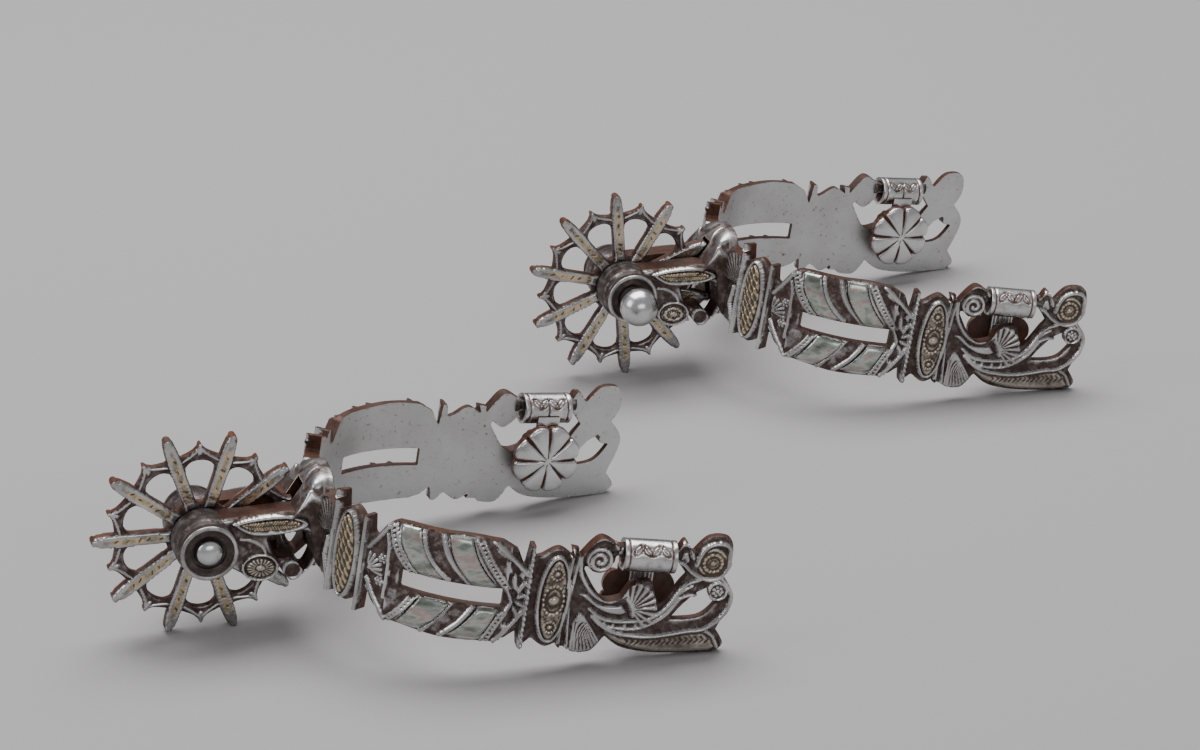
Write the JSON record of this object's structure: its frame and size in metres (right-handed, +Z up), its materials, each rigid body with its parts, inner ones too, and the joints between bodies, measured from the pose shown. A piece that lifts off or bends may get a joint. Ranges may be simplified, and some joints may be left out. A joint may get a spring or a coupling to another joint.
{
  "type": "pair of rowel spurs",
  "caption": "Pair of steel rowel spurs with pierced, chiselled and inlaid heel bands, star rowels with arched webs, ball and domed pin heads, and hinged strap hangers with petalled buttons.",
  "frame": {"origin": "middle of the footprint of the pair, on the surface it rests on", "axes": "+Z up, +X to the right across the pair with the rowels to the left, +Y away from the front spur"},
  "size_m": [0.3016, 0.3082, 0.0625],
  "materials": {
    "chiselled_steel": "chiselled relief, bright worn edges over a red-brown patina, smooth grey inside",
    "rowel_steel": "bright edges and tips, red-brown patina between, worn gold-coloured strips on the points",
    "dark_iron": "dark brown patina with a bright rim",
    "polished_steel": "worn polish with fine pits",
    "gold_inlay": "engraved and worn, mixed with silver grey",
    "pearl_inlay": "polished, faintly iridescent strips"
  },
  "bodies": {
    "front_spur": {"front_heel_band": "chiselled_steel", "front_rowel_pin": "polished_steel", "front_boss_ring_near": "dark_iron", "front_pin_head_near": "polished_steel", "front_cheek_inlay_near": "gold_inlay", "front_cheek_rosette_near": "gold_inlay", "front_collar_inlay_near": "gold_inlay", "front_strap_inlay_near": "gold_inlay", "front_rope_strip_upper_1_near": "pearl_inlay", "front_rope_strip_upper_2_near": "pearl_inlay", "front_rope_strip_lower_1_near": "pearl_inlay", "front_rope_strip_lower_2_near": "pearl_inlay", "front_boss_ring_far": "dark_iron", "front_pin_head_far": "polished_steel", "front_cheek_inlay_far": "gold_inlay", "front_cheek_rosette_far": "gold_inlay", "front_collar_inlay_far": "gold_inlay", "front_strap_inlay_far": "gold_inlay", "front_rope_strip_upper_1_far": "pearl_inlay", "front_rope_strip_upper_2_far": "pearl_inlay", "front_rope_strip_lower_1_far": "pearl_inlay", "front_rope_strip_lower_2_far": "pearl_inlay"},
    "front_rowel": {"front_rowel": "rowel_steel"},
    "front_hanger_near": {"front_hanger_near": "polished_steel", "front_button_near": "polished_steel", "front_button_rivet_near": "dark_iron"},
    "front_hanger_far": {"front_hanger_far": "polished_steel", "front_button_far": "polished_steel", "front_button_rivet_far": "dark_iron"},
    "rear_spur": {"rear_heel_band": "chiselled_steel", "rear_rowel_pin": "polished_steel", "rear_boss_ring_near": "dark_iron", "rear_pin_head_near": "polished_steel", "rear_cheek_inlay_near": "gold_inlay", "rear_cheek_rosette_near": "gold_inlay", "rear_collar_inlay_near": "gold_inlay", "rear_strap_inlay_near": "gold_inlay", "rear_rope_strip_upper_1_near": "pearl_inlay", "rear_rope_strip_upper_2_near": "pearl_inlay", "rear_rope_strip_lower_1_near": "pearl_inlay", "rear_rope_strip_lower_2_near": "pearl_inlay", "rear_boss_ring_far": "dark_iron", "rear_pin_head_far": "polished_steel", "rear_cheek_inlay_far": "gold_inlay", "rear_cheek_rosette_far": "gold_inlay", "rear_collar_inlay_far": "gold_inlay", "rear_strap_inlay_far": "gold_inlay", "rear_rope_strip_upper_1_far": "pearl_inlay", "rear_rope_strip_upper_2_far": "pearl_inlay", "rear_rope_strip_lower_1_far": "pearl_inlay", "rear_rope_strip_lower_2_far": "pearl_inlay"},
    "rear_rowel": {"rear_rowel": "rowel_steel"},
    "rear_hanger_near": {"rear_hanger_near": "polished_steel", "rear_button_near": "polished_steel", "rear_button_rivet_near": "dark_iron"},
    "rear_hanger_far": {"rear_hanger_far": "polished_steel", "rear_button_far": "polished_steel", "rear_button_rivet_far": "dark_iron"}
  },
  "joints": [
    {"name": "front_rowel_spin", "type": "hinge", "parent": "front_spur", "child": "front_rowel", "pos_m": [-0.12031, -0.12416, 0.03017], "axis": [-0.2823, 0.9593, 0], "continuous": true},
    {"name": "front_hanger_near_swing", "type": "hinge", "parent": "front_spur", "child": "front_hanger_near", "pos_m": [0.00632, -0.1419, 0.03304], "axis": [0.9703, 0.1857, -0.1552], "range_deg": [-2, 150]},
    {"name": "front_hanger_far_swing", "type": "hinge", "parent": "front_spur", "child": "front_hanger_far", "pos_m": [-0.02348, -0.04065, 0.03304], "axis": [-0.9162, -0.3695, 0.1552], "range_deg": [-2, 150]},
    {"name": "rear_rowel_spin", "type": "hinge", "parent": "rear_spur", "child": "rear_rowel", "pos_m": [-0.00021, 0.06024, 0.0313], "axis": [-0.2823, 0.9593, 0], "continuous": true},
    {"name": "rear_hanger_near_swing", "type": "hinge", "parent": "rear_spur", "child": "rear_hanger_near", "pos_m": [0.12644, 0.04251, 0.0332], "axis": [0.969, 0.1853, -0.1634], "range_deg": [-2, 150]},
    {"name": "rear_hanger_far_swing", "type": "hinge", "parent": "rear_spur", "child": "rear_hanger_far", "pos_m": [0.09664, 0.14376, 0.0332], "axis": [-0.9149, -0.3692, 0.1634], "range_deg": [-2, 150]},
    {"name": "rear_spur_lift", "type": "slide", "parent": "front_spur", "child": "rear_spur", "axis": [0, 0, 1], "range_m": [0, 0.15]}
  ]
}
